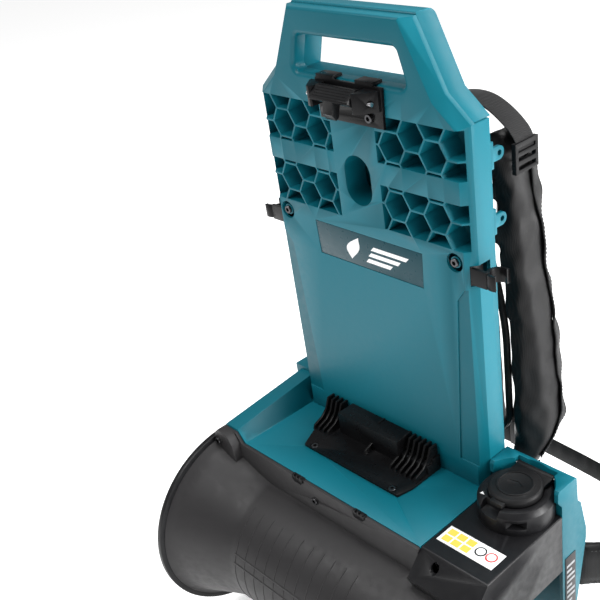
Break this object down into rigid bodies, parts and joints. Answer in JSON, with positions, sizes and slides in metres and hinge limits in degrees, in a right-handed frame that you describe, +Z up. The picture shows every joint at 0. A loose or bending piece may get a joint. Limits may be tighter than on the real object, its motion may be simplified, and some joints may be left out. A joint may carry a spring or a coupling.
{
  "type": "backpack leaf blower",
  "caption": "Cordless backpack leaf blower: honeycomb pack frame with carry handle, ducted fan across the base, side outlet for a hose, power socket and padded harness.",
  "frame": {"origin": "on the floor, under the middle of the pack frame's front face", "axes": "+X to the wearer's right, +Y towards the wearer's back, +Z up"},
  "size_m": [0.5773, 0.4336, 0.689],
  "materials": {
    "teal_plastic": "satin moulded grain",
    "badge": "smooth",
    "black_plastic": "fine moulded grain",
    "grey_plastic": "fine moulded grain",
    "duct_plastic": "smooth, glass filled",
    "rubber": "matte",
    "steel": "ground",
    "copper": "enamelled wire",
    "brass": "bright",
    "screw_steel": "black oxide",
    "circuit": "solder mask",
    "label": "printed film",
    "mesh_fabric": "open air mesh over foam",
    "padded_fabric": "woven nylon over foam",
    "webbing": "ribbed woven nylon"
  },
  "bodies": {
    "body": {"back_pad": "mesh_fabric", "badge_plate": "badge", "barrel_end_cap": "black_plastic", "base_cover": "teal_plastic", "base_rear_frame": "teal_plastic", "bearing_front": "steel", "bearing_rear": "steel", "belt_buckle_plug": "black_plastic", "belt_buckle_socket": "black_plastic", "belt_webbing_left": "webbing", "belt_webbing_right": "webbing", "cable_clip_left": "black_plastic", "cable_clip_right": "black_plastic", "care_label": "label", "controller_board": "circuit", "controller_case": "black_plastic", "fan_duct": "duct_plastic", "fan_housing_front": "grey_plastic", "fan_housing_rear": "grey_plastic", "frame_front_shell": "teal_plastic", "frame_rear_shell": "teal_plastic", "frame_screws": "screw_steel", "harness_top_bar": "black_plastic", "hip_pad_left": "padded_fabric", "hip_pad_right": "padded_fabric", "housing_screws": "screw_steel", "inlet_bell": "grey_plastic", "intake_grille": "black_plastic", "intake_ring": "black_plastic", "ladder_lock_left": "black_plastic", "ladder_lock_right": "black_plastic", "latch_pin": "steel", "latch_plate": "black_plastic", "latch_spring": "steel", "lumbar_pad": "mesh_fabric", "motor_coils": "copper", "motor_pod": "duct_plastic", "motor_stator": "steel", "outlet_elbow": "black_plastic", "pack_cradle": "black_plastic", "pack_screws": "screw_steel", "rating_plate": "label", "right_housing": "black_plastic", "seam_clips": "black_plastic", "shoulder_pad_left": "padded_fabric", "shoulder_pad_right": "padded_fabric", "socket_cap_pin": "steel", "socket_collar": "black_plastic", "socket_insert": "duct_plastic", "socket_terminals": "brass", "stand": "black_plastic", "strap_webbing_left": "webbing", "strap_webbing_right": "webbing", "tail_cone": "duct_plastic"},
    "fan": {"fan_impeller": "duct_plastic", "motor_shaft": "steel", "motor_rotor": "steel"},
    "latch": {"latch_lever": "black_plastic"},
    "cap": {"socket_cap": "rubber"}
  },
  "joints": [
    {"name": "fan_spin", "type": "hinge", "parent": "body", "child": "fan", "pos_m": [0, -0.097, 0.125], "axis": [1, 0, 0], "continuous": true},
    {"name": "latch_press", "type": "hinge", "parent": "body", "child": "latch", "pos_m": [0, -0.011, 0.616], "axis": [1, 0, 0], "range_deg": [0, 20], "stiffness_Nm_per_rad": 0.08, "springref_deg": -14.32},
    {"name": "cap_lift", "type": "hinge", "parent": "body", "child": "cap", "pos_m": [0.173, 0.027, 0.264], "axis": [-1, 0, 0], "range_deg": [0, 80]}
  ]
}
